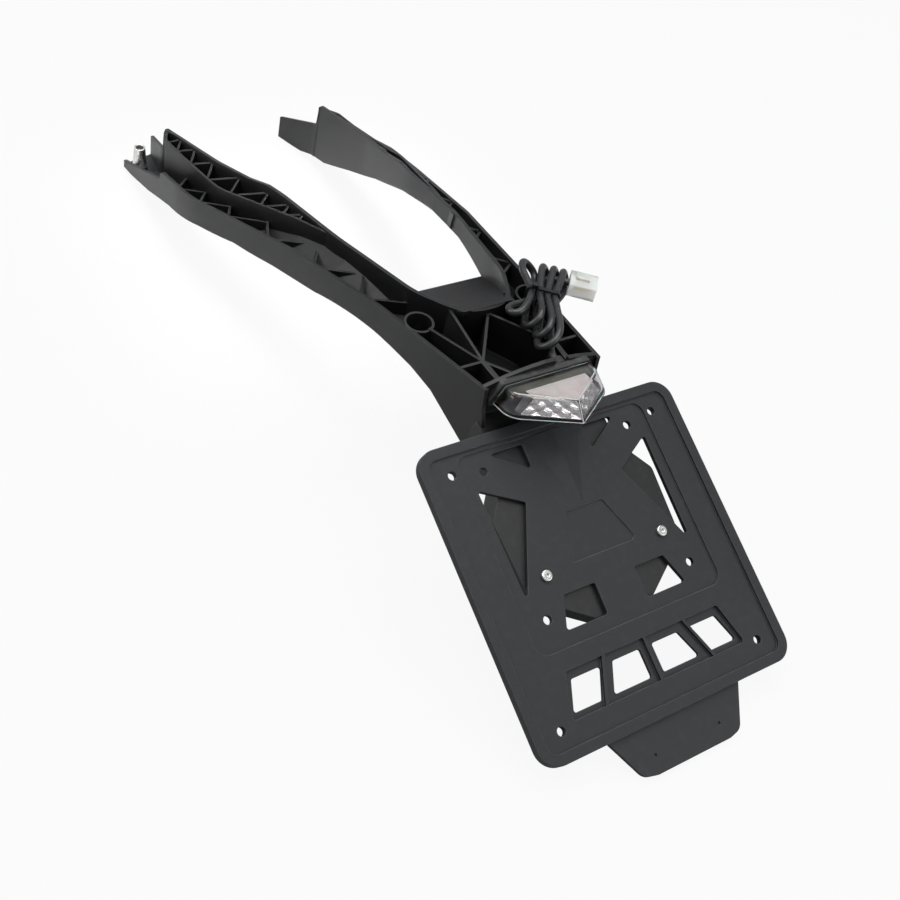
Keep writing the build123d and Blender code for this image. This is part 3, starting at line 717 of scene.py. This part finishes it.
@dataclass
class Studio:
    """Camera at the photograph's angle, pale floor and soft light."""

    lens_mm: float = 48.0
    sensor_mm: float = 36.0
    far_clip: float = 30.0
    at: Point = (-0.39967, -0.80500, 0.59915)
    right: Point = (0.842204, -0.502995, 0.194135)
    up: Point = (0.265098, 0.699865, 0.663259)
    back: Point = (-0.469484, -0.507134, 0.722772)
    floor_front: Flat = (0.0325, -0.0356)
    floor_rear: Flat = (-0.6479, 0.0022)
    floor_reach: float = 12.0
    floor_tones: Tuple[Colour, Colour] = ((0.40, 0.40, 0.40), (0.42, 0.42, 0.42))
    floor_cloud_scale: float = 3.0
    floor_roughness: float = 0.9
    floor_glow: float = 0.92
    room_colour: Colour = (0.9, 0.92, 0.95)
    room_strength: float = 0.45
    lamps: Tuple[SoftLamp, ...] = (
        SoftLamp("overhead", at=(0.1, -0.1, 1.6), aim=(0.0, -0.3, 0.05), size=1.6, power=26.0),
        SoftLamp("key_left", at=(-1.3, 0.5, 1.1), aim=(0.0, -0.25, 0.05), size=1.0, power=10.0),
        SoftLamp("rear_fill", at=(0.9, -1.6, 0.9), aim=(0.0, -0.4, 0.05), size=1.0, power=7.0),
        SoftLamp("fork_glow", at=(0.01, -0.12, 0.40), aim=(0.01, -0.12, -0.03), size=0.30, power=0.5,
                 spread_deg=30.0),
    )

    def camera(self) -> None:
        """Set up the camera of the photograph."""
        data = bpy.data.cameras.new("photo_camera")
        data.lens, data.sensor_width, data.clip_end = self.lens_mm, self.sensor_mm, self.far_clip
        camera = new_object("photo_camera", data)
        axes = Matrix((self.right, self.up, self.back)).transposed().to_4x4()
        camera.matrix_world = Matrix.Translation(self.at) @ axes
        bpy.context.scene.camera = camera

    def floor(self) -> None:
        """Lay the pale floor that the fork tips and the panel's tab stand on."""
        (front, front_level), (rear, rear_level) = self.floor_front, self.floor_rear
        slope = (rear_level - front_level) / (rear - front)
        far = self.floor_reach
        around = ((-far, -far), (far, -far), (far, far), (-far, far))
        mesh = bpy.data.meshes.new("floor")
        mesh.from_pydata([(x, y, front_level + slope * (y - front)) for x, y in around], [], [(0, 1, 2, 3)])
        floor = new_object("floor", mesh)
        sheet = Sheet("pale_floor")
        wire = sheet.wiring
        mould = sheet.group(MOULD, Cloud_Scale=self.floor_cloud_scale)
        tone = wire.blend(mould["Cloud"], *self.floor_tones)
        sheet.put(Base_Color=tone, Roughness=self.floor_roughness)
        glow = wire.add("Emission")
        glow.inputs["Strength"].default_value = 1.0
        share = wire.math("MULTIPLY", wire.seen(), self.floor_glow)
        surface = wire.either(share, sheet.shader.outputs[0], glow.outputs[0])
        wire.link(surface, sheet.material.node_tree.nodes["Material Output"].inputs["Surface"])
        mesh.materials.append(sheet.material)

    def room(self) -> None:
        """Set the surroundings: a pale room that shows as plain white."""
        world = bpy.data.worlds.new("pale_room")
        bpy.context.scene.world = world
        world.use_nodes = True
        wire = Wiring(world.node_tree)
        room = world.node_tree.nodes["Background"]
        room.inputs["Color"].default_value = (*self.room_colour, 1.0)
        room.inputs["Strength"].default_value = self.room_strength
        bright = wire.add("Background")
        bright.inputs["Color"].default_value = (1.0, 1.0, 1.0, 1.0)
        surface = wire.either(wire.seen(), room.outputs[0], bright.outputs[0])
        wire.link(surface, world.node_tree.nodes["World Output"].inputs["Surface"])

    def build(self) -> None:
        """Set up view, floor and light."""
        self.camera()
        self.floor()
        for lamp in self.lamps:
            lamp.hang()
        self.room()
        bpy.context.scene.view_settings.view_transform = "Standard"
        log.info("studio: camera, floor and %d lamps", len(self.lamps))


def rounded(corners: Sequence[Point], steps: int) -> List[Flat]:
    """Round the corners of an open line.

    Args:
        corners: points as (x, out, radius); the two ends keep their place.
        steps: points along each rounded corner, less one.

    Returns:
        The rounded line.
    """
    most_of_side = 0.48
    line = [corners[0][:2]]
    for before, corner, after in zip(corners, corners[1:], corners[2:]):
        at = Vector(corner[:2])
        toward, onward = Vector(before[:2]) - at, Vector(after[:2]) - at
        half = toward.angle(onward) / 2
        cut = min(corner[2] / math.tan(half), most_of_side * toward.length, most_of_side * onward.length)
        start, end = at + toward.normalized() * cut, at + onward.normalized() * cut
        for i in range(steps + 1):
            share = i / steps
            line.append(tuple(start.lerp(at, share).lerp(at.lerp(end, share), share)))
    return line + [corners[-1][:2]]


def drawn_in(line: Sequence[Flat], gap: float) -> List[Flat]:
    """Move an open line to its right, level with itself.

    Args:
        line: the line.
        gap: how far it moves.

    Returns:
        The moved line.
    """
    moved = []
    for i, (x, out) in enumerate(line):
        run = Vector(line[min(i + 1, len(line) - 1)]) - Vector(line[max(i - 1, 0)])
        run.normalize()
        moved.append((x + run.y * gap, out - run.x * gap))
    return moved


def mirrored(half: Sequence[Flat]) -> List[Flat]:
    """Return the line from a half's left image to its middle point and on to its right end."""
    return [(-x, out) for x, out in half] + list(half[-2::-1])


@dataclass
class Shell:
    """Points and faces of a piece that is being put together, with the material slot of each face."""

    points: List[Vector] = field(default_factory=list)
    faces: List[Tuple[int, ...]] = field(default_factory=list)
    slots: List[int] = field(default_factory=list)

    def join(self, faces: Sequence[Tuple[int, ...]], slot: int = 0) -> None:
        """Add faces between points that are there already."""
        self.faces += faces
        self.slots += [slot] * len(faces)

    def add(self, points: Sequence[Vector], faces: Sequence[Sequence[int]], slot: int = 0) -> None:
        """Add a patch.

        Args:
            points: points of the patch.
            faces: its faces, counted from its own first point.
            slot: material slot of its faces.
        """
        base = len(self.points)
        self.points += points
        self.join([tuple(base + i for i in face) for face in faces], slot)


@dataclass(frozen=True)
class HighlightBead:
    """Thin pale tube along a line of the lamp, a painted highlight on the lens's edges."""

    name: str
    line: List[Point]
    radius: float
    closed: bool = False


@dataclass
class TailLamp:
    """Clear chevron lens over a plated tray.  Sizes in millimetres, in the lamp's own tilted frame.

    A spot of the lamp is given as x, out from the rear wall, and level above the lamp's foot.  Corners of the
    foot and the crown are (x, out, radius) of the right half.  The lens's two edges are softened in steps:
    each is a share of the softened height, from the edge, and a share of how far the skin is drawn in.
    """

    origin: Point = (0.0, -441.0, 107.4)
    tilt_deg: float = 14.0
    back: float = -437.0
    height: float = 13.4
    wall: float = 1.7
    foot: List[Point] = field(default_factory=lambda: [(37.4, 14.2, 16.0), (0.0, 38.6, 1.6)])
    crown: List[Point] = field(default_factory=lambda: [(31.2, 8.6, 10.0), (0.0, 31.4, 1.2)])
    corner_steps: int = 6
    back_inset: float = 0.6
    soft: float = 0.7
    foot_edge: Tuple[Flat, ...] = ((0.0, 0.7), (0.4, 0.0))
    crown_edge: Tuple[Flat, ...] = ((1.0, 0.0), (0.3, 0.3), (0.0, 1.0))
    sharp_deg: float = 38.0
    pane: List[Flat] = field(default_factory=lambda: [(21.5, 8.0), (21.0, 15.0), (0.0, 29.0)])
    pane_level: float = 10.9
    deck: List[Flat] = field(default_factory=lambda: [(-29.0, 0.6), (29.0, 0.6), (27.0, 8.0), (-27.0, 8.0)])
    deck_drop: float = 0.3
    plate_lift: float = 0.15
    plate_gap: float = 0.6
    skirt: List[Flat] = field(default_factory=lambda: [(30.0, 9.0), (29.0, 14.6), (0.0, 35.0)])
    skirt_level: float = 1.9
    facet_rows: int = 3
    facets_front: int = 6
    facets_end: int = 2
    facet_hollow: float = 1.5
    facet_swell: float = 0.6
    highlight_steps: int = 2

    def place(self, x: float, out: float, level: float) -> Vector:
        """Turn a spot of the lamp into a point of the model.

        Args:
            x: distance to the right.
            out: distance out from the rear wall.
            level: height above the lamp's foot.

        Returns:
            The point, in metres.
        """
        lean = math.radians(self.tilt_deg)
        y = self.origin[1] - out * math.cos(lean) + level * math.sin(lean)
        z = self.origin[2] + out * math.sin(lean) + level * math.cos(lean)
        return Vector((self.origin[0] + x, y, z)) * MM

    def row(self, line: Sequence[Flat], level: float) -> List[Vector]:
        """Return the points of a line that lies at a level, in metres."""
        return [self.place(x, out, level) for x, out in line]

    def back_out(self, level: float) -> float:
        """Return how far out the lens's flat back lies at a level."""
        lean = math.radians(self.tilt_deg)
        return (level * math.sin(lean) - (self.back - self.origin[1])) / math.cos(lean)

    def outline(self, level: float, gap: float) -> List[Flat]:
        """Draw the lens's outline at a level.

        Args:
            level: height above the lamp's foot.
            gap: how far the line is drawn in from the outside.

        Returns:
            The line from the left back round the nose to the right back.
        """
        share = level / self.height
        shoulder, nose = [
            tuple(a + (b - a) * share for a, b in zip(low, high)) for low, high in zip(self.foot, self.crown)
        ]
        back = self.back_out(level)
        right = [shoulder, (shoulder[0] - self.back_inset, back, 0.0)]
        left = [(-x, out, radius) for x, out, radius in reversed(right)]
        line = drawn_in(rounded(left + [nose] + right, self.corner_steps), gap)
        line[0], line[-1] = (line[0][0], back), (line[-1][0], back)
        return line

    def skin(self, gap: float) -> List[List[Vector]]:
        """Lay one skin of the lens.

        Args:
            gap: how far it is drawn in from the outside.

        Returns:
            Rows of points from the foot to the crown, in metres.
        """
        ledges = [(gap + self.soft * up, self.soft * inward) for up, inward in self.foot_edge]
        top = self.height - gap
        ledges += [(top - self.soft * down, self.soft * inward) for down, inward in self.crown_edge]
        return [self.row(self.outline(level, gap + inward), level) for level, inward in ledges]

    def lens(self) -> bpy.types.Object:
        """Make the clear lens: outer and inner skin, joined round the flat back.

        Returns:
            The new piece.
        """
        outer, inner = self.skin(0.0), self.skin(self.wall)
        across, rows = len(outer[0]), len(outer)
        grid = [[row * across + i for i in range(across)] for row in range(rows)]
        faces = [(a[i], a[i + 1], b[i + 1], b[i]) for a, b in zip(grid, grid[1:]) for i in range(across - 1)]
        faces += [tuple(grid[-1]), tuple(reversed(grid[0]))]
        shell = Shell()
        shell.add([point for row in outer for point in row], faces)
        shell.add([point for row in inner for point in row], [face[::-1] for face in faces])
        rim = [row[0] for row in grid] + [row[-1] for row in reversed(grid)]
        shift = rows * across
        shell.join([(a, b, b + shift, a + shift) for a, b in zip(rim, rim[1:] + rim[:1])])
        piece = self.piece("lamp_lens_clear", shell, [LENS], "lamp_lens")
        piece.data.shade_smooth()
        piece.data.set_sharp_from_angle(angle=math.radians(self.sharp_deg))
        return piece

    def facets(
        self, shell: Shell, upper: Sequence[Flat], lower: Sequence[Flat], wide: int, slot: TraySlot
    ) -> None:
        """Cut one side of the tray into shallow pyramids, hollow and swollen by turns.

        Args:
            shell: the tray.
            upper: the two ends of the side's upper edge.
            lower: the two ends of its lower edge.
            wide: how many pyramids lie side by side.
            slot: their material slot.
        """
        head, head_end = [Vector((*spot, self.pane_level)) for spot in upper]
        hem, hem_end = [Vector((*spot, self.skirt_level)) for spot in lower]
        for i in range(wide):
            for j in range(self.facet_rows):
                corners = []
                for u, v in ((i, j), (i + 1, j), (i + 1, j + 1), (i, j + 1)):
                    top, bottom = head.lerp(head_end, u / wide), hem.lerp(hem_end, u / wide)
                    corners.append(top.lerp(bottom, v / self.facet_rows))
                peak = sum(corners, Vector()) / len(corners)
                peak.y += -self.facet_hollow if (i + j) % 2 else self.facet_swell
                sides = [((k + 1) % 4, k, 4) for k in range(4)]
                shell.add([self.place(*spot) for spot in corners + [peak]], sides, slot.value)

    def tray(self) -> bpy.types.Object:
        """Make the plated tray: pane on top, cut facets in front, dark ends, plain deck and dark foot plate.

        Returns:
            The new piece.
        """
        shell = Shell()
        top, skirt = mirrored(self.pane), mirrored(self.skirt)
        shell.add(self.row(top, self.pane_level), [range(len(top))], TraySlot.PANE.value)
        shell.add(self.row(self.deck, self.pane_level - self.deck_drop), [(3, 2, 1, 0)], TraySlot.DECK.value)
        level = self.wall + self.plate_lift
        plate = self.outline(level, self.wall + self.plate_gap)
        shell.add(self.row(plate, level), [range(len(plate))], TraySlot.DARK.value)
        last = len(top) - 2
        for side in range(last + 1):
            if side in (0, last):
                wide, slot = self.facets_end, TraySlot.DARK
            else:
                wide, slot = self.facets_front, TraySlot.FACET
            self.facets(shell, top[side:side + 2], skirt[side:side + 2], wide, slot)
        return self.piece("lamp_tray", shell, [REFLECTOR, PANE, DECK, LAMP_BLACK], "lamp_reflector")

    def piece(self, name: str, shell: Shell, finishes: Sequence[Finish], node: str) -> bpy.types.Object:
        """Make a mesh piece that stands in for a node.

        Args:
            name: name of the piece.
            shell: its points and faces.
            finishes: one finish for each material slot.
            node: node that it replaces.

        Returns:
            The new piece, with flat faces.
        """
        mesh = bpy.data.meshes.new(name)
        mesh.from_pydata([tuple(point) for point in shell.points], [], shell.faces)
        for finish in finishes:
            mesh.materials.append(material_of(finish))
        for face, slot in zip(mesh.polygons, shell.slots):
            face.material_index = slot
        piece = new_object(name, mesh)
        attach(piece, "root")
        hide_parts(node)
        log.info("%s: %d faces", name, len(shell.faces))
        return piece

    def highlight_beads(self) -> List[HighlightBead]:
        """Lay the pale tubes that paint highlights: round the pane and along the edges of the lens.

        Returns:
            The beads.
        """
        ridge_inset, rim_inset, end_inset, ridge_ends = 0.9, 0.6, 0.4, 3
        pane_level, ridge_level, rim_level = self.pane_level + 0.2, self.height - 0.5, 0.7
        nose_top, nose_foot = (0.0, 30.5, self.height - 0.6), (0.0, 37.2, 0.8)
        end_levels = (0.5, 0.5 * self.height, self.height - 0.9)
        pane = mirrored(self.pane)
        ridge = self.outline(self.height, ridge_inset)[ridge_ends:-ridge_ends]
        rim = self.outline(rim_level, rim_inset)
        left = [(*self.outline(level, end_inset)[0], level) for level in end_levels]
        right = [(*self.outline(level, end_inset)[-1], level) for level in reversed(end_levels)]
        return [
            HighlightBead("lamp_pane_highlight", [(*spot, pane_level) for spot in pane], radius=0.5, closed=True),
            HighlightBead("lamp_ridge_highlight", [(*spot, ridge_level) for spot in ridge], radius=0.4),
            HighlightBead("lamp_nose_highlight", [nose_top, nose_foot], radius=0.3),
            HighlightBead("lamp_foot_highlight", [(*spot, rim_level) for spot in rim], radius=0.3),
            HighlightBead("lamp_lens_highlight", left + right, radius=0.35),
        ]

    def lay_highlight_bead(self, plan: HighlightBead) -> None:
        """Make one pale tube of painted highlight.

        Args:
            plan: its name, line and radius.
        """
        data = bpy.data.curves.new(plan.name, "CURVE")
        data.dimensions, data.bevel_depth, data.bevel_resolution = "3D", plan.radius * MM, self.highlight_steps
        spline = data.splines.new("POLY")
        spline.points.add(len(plan.line) - 1)
        for target, spot in zip(spline.points, plan.line):
            target.co = (*self.place(*spot), 1.0)
        spline.use_cyclic_u = plan.closed
        # The tube takes the near-white finish of the painted highlight.
        data.materials.append(material_of(PAINTED_HIGHLIGHT))
        bead = new_object(plan.name, data)
        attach(bead, "root")
        log.info("%s: bead of %d points", plan.name, len(plan.line))

    def build(self) -> None:
        """Make lens, tray and the pale tubes of painted highlight."""
        self.lens()
        self.tray()
        for plan in self.highlight_beads():
            self.lay_highlight_bead(plan)


@dataclass(frozen=True)
class Fold:
    """One fold of the hank: where its two strands leave the tie, and how far and how wide they reach.

    A strand's stations are shares of its reach, of its way to the side and of its lift.
    """

    way: Way
    tie_out: float
    tie_back: float
    reach_out: float
    side_out: float
    reach_back: float
    side_back: float
    stations: Tuple[Point, ...] = (
        (0.0, 0.0, 1.0), (0.30, 0.42, 1.02), (0.60, 0.88, 1.04), (0.85, 1.02, 1.06),
    )
    tip_over: float = 1.5
    shoulder: float = 0.12
    shoulder_lift: float = 0.7

    def strand(self, tie: float, reach: float, side: float, lift: float) -> List[Point]:
        """Return one strand's points from the tie outward, at its lift over the hank's middle."""
        return [(far * reach, tie + aside * (side - tie), rise * lift) for far, aside, rise in self.stations]

    def points(self, lift: float) -> List[Point]:
        """Lay the fold.

        Args:
            lift: height of the strand that it starts on, over the hank's middle.

        Returns:
            Control points as (reach, side, height), from the tie to just before the tie again.
        """
        out = self.strand(self.tie_out, self.reach_out, self.side_out, lift)
        back = self.strand(self.tie_back, self.reach_back, self.side_back, -lift)
        lean = self.side_back - self.side_out
        tip = max(self.reach_out, self.reach_back) + self.tip_over
        turn = [
            (self.reach_out, self.side_out + self.shoulder * lean, self.shoulder_lift * lift),
            (tip, self.side_out + 0.5 * lean, 0.0),
            (self.reach_back, self.side_out + (1 - self.shoulder) * lean, -self.shoulder_lift * lift),
        ]
        return [(self.way.value * reach, side, height) for reach, side, height in out + turn + back[:0:-1]]


@dataclass
class LampCable:
    """Cable from the lamp, wound in a hank, tied, and ending in the connector.  Sizes in millimetres.

    A finger in front of the tie is its reach and the sides of its upper and its lower strand.  A bow behind
    the tie is reach and side of the strand that leaves the tie, then of the one that comes back.
    """

    radius: float = 2.4
    hank_at: Point = (34.0, -379.0, 120.95)
    turn_deg: float = 50.0
    lift: float = 5.2
    pitch: float = 4.9
    length: float = 0.65
    round_steps: int = 6
    run_steps: int = 8
    lead_out: List[Point] = field(default_factory=lambda: [(13.5, -432.6, 117.0), (13.5, -421.4, 117.0)])
    lead_in: List[Point] = field(default_factory=lambda: [(-24.0, 10.4, -5.2), (-5.0, 7.35, -5.2)])
    fingers: List[Point] = field(default_factory=lambda: [
        (29.5, -16.8, -5.6), (29.5, -3.4, 2.4), (30.0, 3.8, 9.0), (29.5, 10.4, 14.8),
    ])
    bows: List[Tuple[float, float, float, float]] = field(default_factory=lambda: [
        (24.0, 1.0, 25.0, -7.5), (31.0, 8.0, 32.0, 0.5), (39.5, 14.0, 41.5, 2.5),
    ])
    tail: List[Point] = field(default_factory=lambda: [
        (0.0, -7.35, 5.2), (-5.0, -7.4, 5.2), (-13.0, -8.6, 5.0), (-20.0, -10.5, 4.4), (-24.0, -15.0, 3.2),
        (-21.5, -19.5, 2.0), (-15.0, -19.0, 1.0), (-8.0, -11.0, 0.2), (-2.0, -5.6, 0.0), (12.0, -4.9, 0.0),
        (19.4, -0.6, 0.0), (23.7, 6.8, 0.2),
    ])
    connector_back: Point = (61.505, -371.115, 121.5)

    def spot(self, reach: float, side: float, up: float) -> Point:
        """Place a point of the hank.

        Args:
            reach: distance in front of the tie.
            side: distance to the right of the hank's middle.
            up: height above the hank's middle.

        Returns:
            The point in the frame of the model, in millimetres.
        """
        turn = math.radians(self.turn_deg)
        x, y, z = self.hank_at
        return (
            x + reach * math.cos(turn) + side * math.sin(turn),
            y + reach * math.sin(turn) - side * math.cos(turn),
            z + up,
        )

    def tie_side(self, strand: int) -> float:
        """Return the side of a strand where the tie holds it, counted from the left."""
        return (strand - (len(self.fingers) - 1) / 2) * self.pitch

    def route(self) -> List[Point]:
        """Lay the whole cable.

        Returns:
            Its control points in the frame of the model, in millimetres.
        """
        winding = list(self.lead_in)
        for strand in reversed(range(len(self.fingers))):
            side = self.tie_side(strand)
            reach, upper, lower = self.fingers[strand]
            winding += Fold(Way.FRONT, side, side, reach, lower, reach, upper).points(-self.lift)
            if strand > 0:
                bow = self.bows[strand - 1]
                winding += Fold(Way.BEHIND, side, self.tie_side(strand - 1), *bow).points(self.lift)
        return self.lead_out + [self.spot(*p) for p in winding + self.tail] + [self.connector_back]

    def build(self) -> None:
        data = bpy.data.curves.new("lamp_cable_run", "CURVE")
        data.dimensions = "3D"
        data.bevel_depth = self.radius * MM
        data.bevel_resolution = self.round_steps
        data.resolution_u = self.run_steps
        data.use_fill_caps = True
        spline = data.splines.new("NURBS")
        points = self.route()
        spline.points.add(len(points) - 1)
        for target, point in zip(spline.points, points):
            target.co = (*[c * MM for c in point], 1.0)
        spline.order_u = 3
        spline.use_endpoint_u = True
        data.materials.append(material_of(CABLE))
        cable = new_object("lamp_cable_run", data)
        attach(cable, "root")
        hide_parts("lamp_cable", "cable_hank", "connector_lead")
        log.info("lamp_cable_run: one cable, %d control points", len(points))


@dataclass
class Mouldings:
    """CAD nodes that keep their shape and take a finish."""

    finishes: Dict[str, Finish] = field(default_factory=lambda: {
        "tail_frame": FRAME_BLACK,
        "plate_panel": PANEL_GREY,
        "panel_screws": SCREW_STEEL,
        "panel_nuts": SCREW_STEEL,
        "left_bush": BUSH_STEEL,
        "right_bush": BUSH_STEEL,
        "lamp_base": LAMP_BLACK,
        "lamp_seal": RUBBER,
        "lamp_board": BOARD,
        "lamp_leds": LED_RED,
        "lamp_reflector": REFLECTOR,
        "lamp_lens": LENS,
        "lamp_screws": SCREW_STEEL,
        "cable_grommet": RUBBER,
        "lamp_cable": CABLE,
        "cable_hank": CABLE,
        "cable_tie": TIE,
        "connector_lead": CABLE,
        "connector_body": CONNECTOR,
        "connector_terminals": BRASS,
    })

    def build(self) -> None:
        """Dress every node."""
        for node, finish in self.finishes.items():
            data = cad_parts[node].data
            data.materials.clear()
            data.materials.append(material_of(finish))
            log.info("%s: %s", node, finish.name)


def main() -> None:
    """Build the scene."""
    Studio().build()
    Mouldings().build()
    TailLamp().build()
    LampCable().build()


if __name__ == "__main__":
    main()
